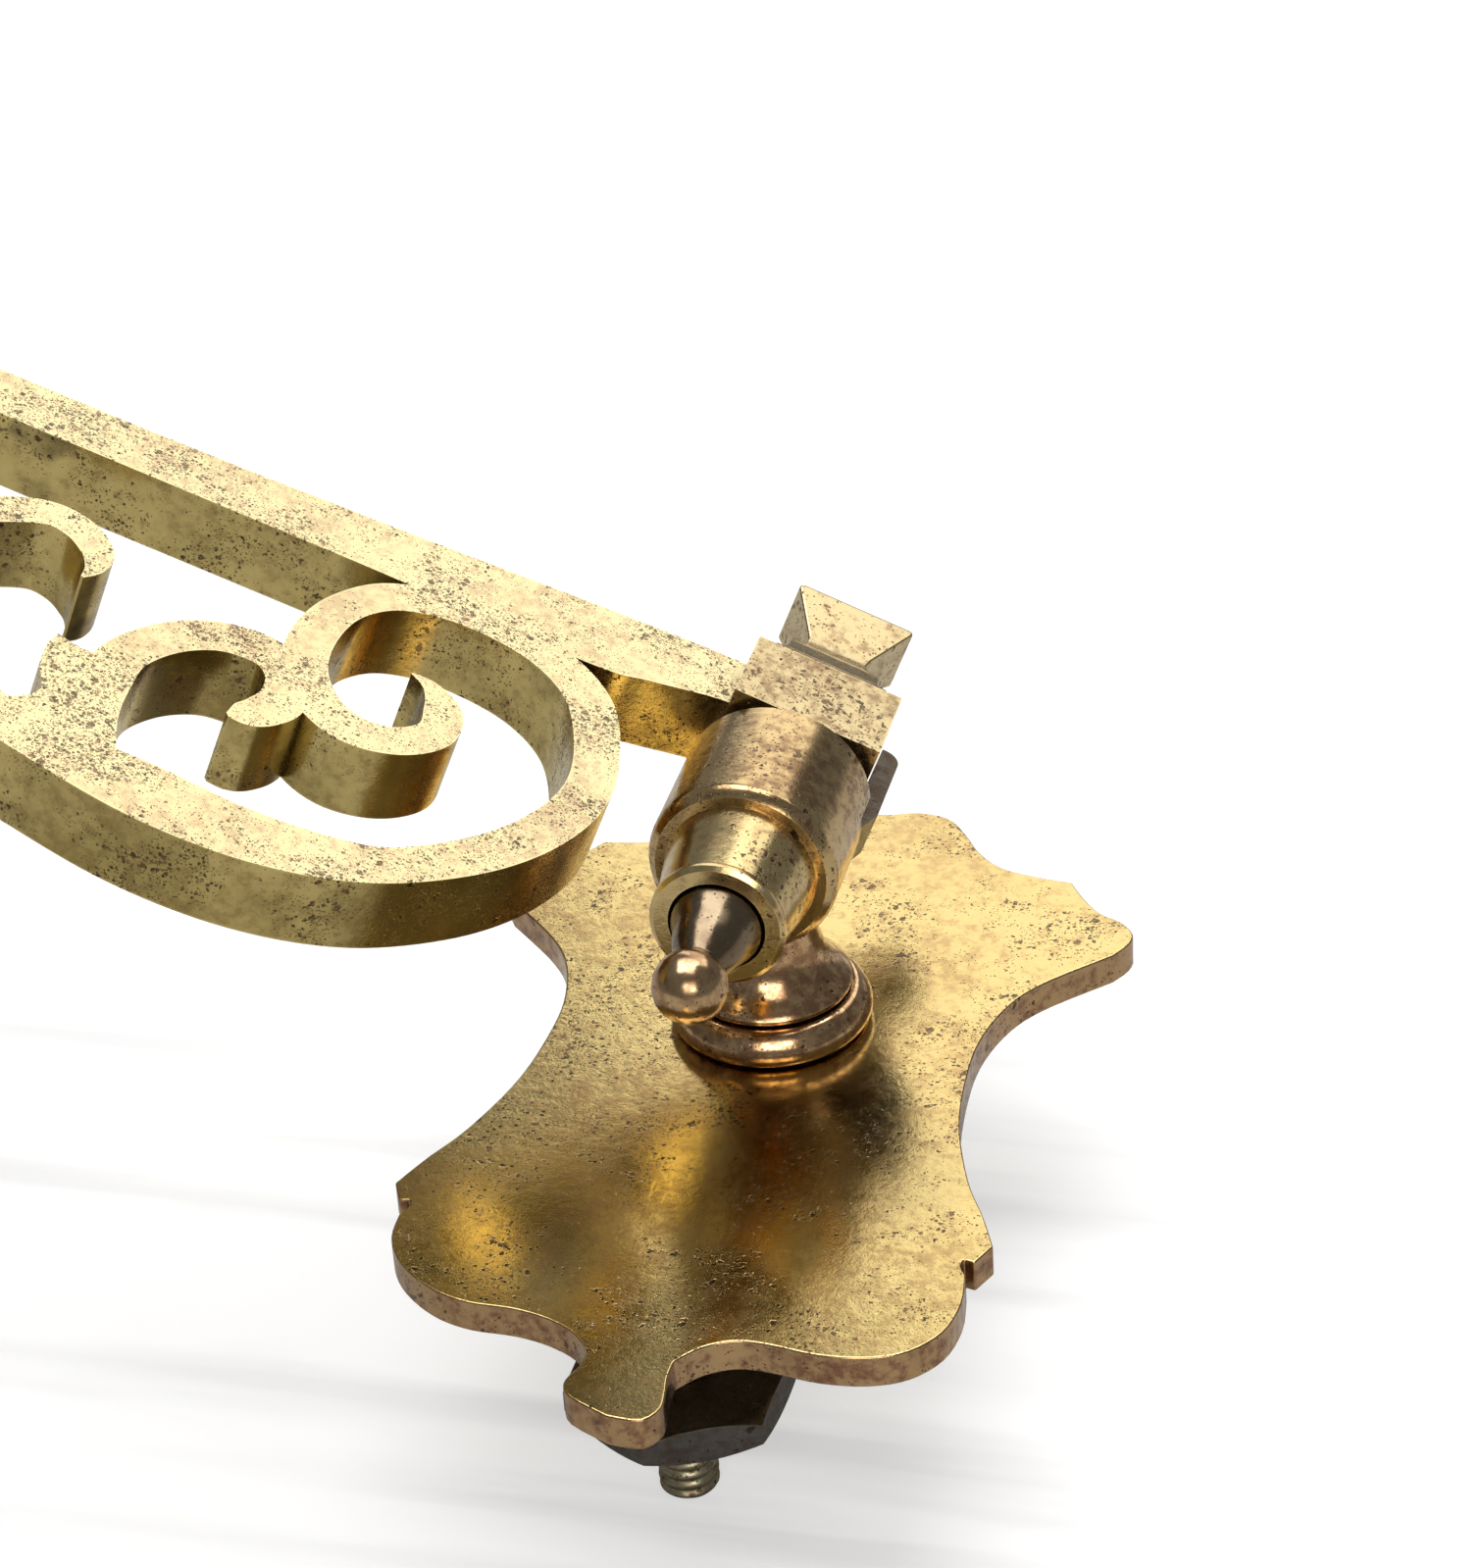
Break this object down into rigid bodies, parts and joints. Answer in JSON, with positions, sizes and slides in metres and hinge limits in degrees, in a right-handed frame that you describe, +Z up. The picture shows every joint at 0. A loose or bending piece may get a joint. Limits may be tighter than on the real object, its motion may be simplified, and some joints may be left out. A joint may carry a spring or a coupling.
{
  "type": "swing arm wall sconce",
  "caption": "Brass swing-arm candle sconce: pierced scroll arm pivoting in an upright barrel on a lobed wall plate, with drip pan and candle cup.",
  "frame": {"origin": "back face of the wall plate, midway between the two studs", "axes": "+Z up along the hinge barrel; the wall is the plane Y = 0; the arm stands out towards -Y; +X to the right seen from the room"},
  "size_m": [0.2028, 0.1441, 0.1165],
  "materials": {
    "plate_brass": "aged satin",
    "arm_brass": "aged satin, speckled",
    "turned_brass": "aged polish with reddish patina",
    "dark_bronze": "dark patina",
    "stud_metal": "tarnished thread",
    "nut_steel": "dull gunmetal"
  },
  "bodies": {
    "fixed": {"wall_plate": "plate_brass", "stud_upper": "stud_metal", "stud_lower": "stud_metal", "nut_upper": "nut_steel", "nut_lower": "nut_steel", "neck_flange": "turned_brass", "barrel_and_neck": "turned_brass"},
    "arm": {"arm_casting": "arm_brass", "stop_washer": "nut_steel", "pivot_plug": "dark_bronze", "top_finial": "arm_brass", "drip_pan": "turned_brass", "candle_cup": "turned_brass", "pendant_nut": "turned_brass"}
  },
  "joints": [
    {"name": "arm_swing", "type": "hinge", "parent": "fixed", "child": "arm", "pos_m": [0, -0.0277, 0.0074], "axis": [0, 0, 1], "range_deg": [-5, 139.6]}
  ]
}
